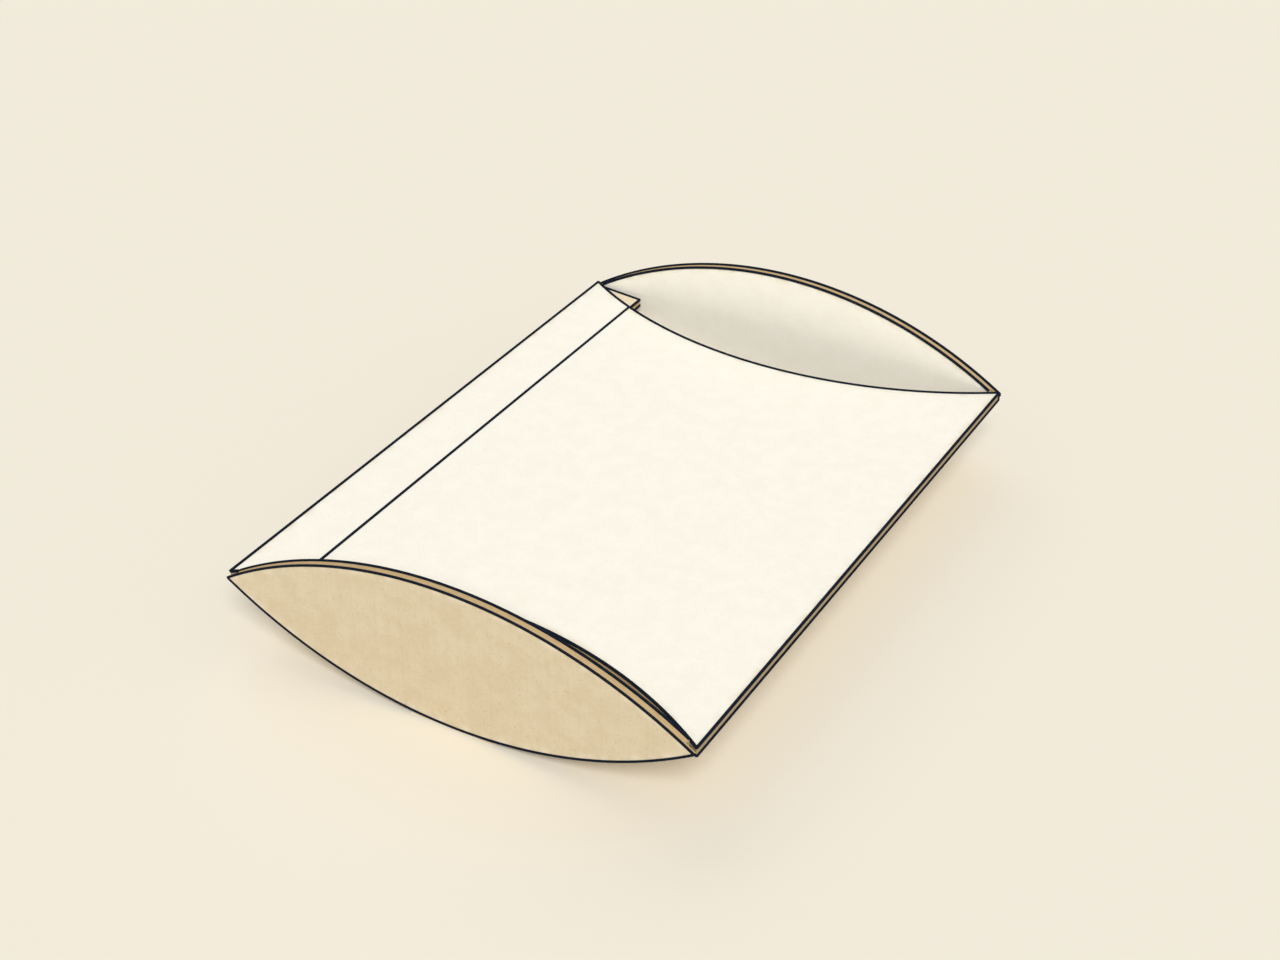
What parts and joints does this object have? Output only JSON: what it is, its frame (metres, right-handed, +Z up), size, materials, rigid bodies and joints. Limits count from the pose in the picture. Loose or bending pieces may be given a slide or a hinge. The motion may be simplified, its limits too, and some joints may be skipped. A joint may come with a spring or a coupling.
{
  "type": "pillow box",
  "caption": "Shallow board box with a flat notched top panel, a bowed bottom panel and lens-shaped end flaps that fold down to open the ends.",
  "frame": {"origin": "on the table under the middle of the box, at the bottom panel's lowest line", "axes": "+X across the box from the glue seam's side to the plain fold, +Y along it from the near flap to the far flap, +Z up"},
  "size_m": [0.09, 0.1218, 0.0277],
  "materials": {
    "cream_paper": "matte uncoated cream paper",
    "kraft_paper": "matte kraft paper",
    "board_core": "matte brown board, fibrous where cut",
    "seam_glue": "dried paper glue"
  },
  "bodies": {
    "sleeve": {"top_cover_sheet": "cream_paper", "top_panel_core": "board_core", "top_panel_inner_liner": "cream_paper", "bottom_panel_outer_liner": "kraft_paper", "bottom_panel_core": "board_core", "bottom_panel_inner_liner": "cream_paper", "glue_flap_outer_liner": "kraft_paper", "glue_flap_core": "board_core", "glue_flap_inner_liner": "cream_paper", "seam_glue": "seam_glue", "left_fold": "board_core", "right_fold": "board_core", "near_crease": "kraft_paper", "far_crease": "kraft_paper"},
    "near_flap": {"near_flap_core": "board_core", "near_flap_outer_liner": "kraft_paper", "near_flap_inner_liner": "cream_paper"},
    "far_flap": {"far_flap_core": "board_core", "far_flap_outer_liner": "kraft_paper", "far_flap_inner_liner": "cream_paper"}
  },
  "joints": [
    {"name": "near_flap_fold", "type": "hinge", "parent": "sleeve", "child": "near_flap", "pos_m": [0, -0.0608, 0.0001], "axis": [1, 0, 0], "range_deg": [0, 90]},
    {"name": "far_flap_fold", "type": "hinge", "parent": "sleeve", "child": "far_flap", "pos_m": [0, 0.0608, 0.0001], "axis": [-1, 0, 0], "range_deg": [0, 90]}
  ]
}
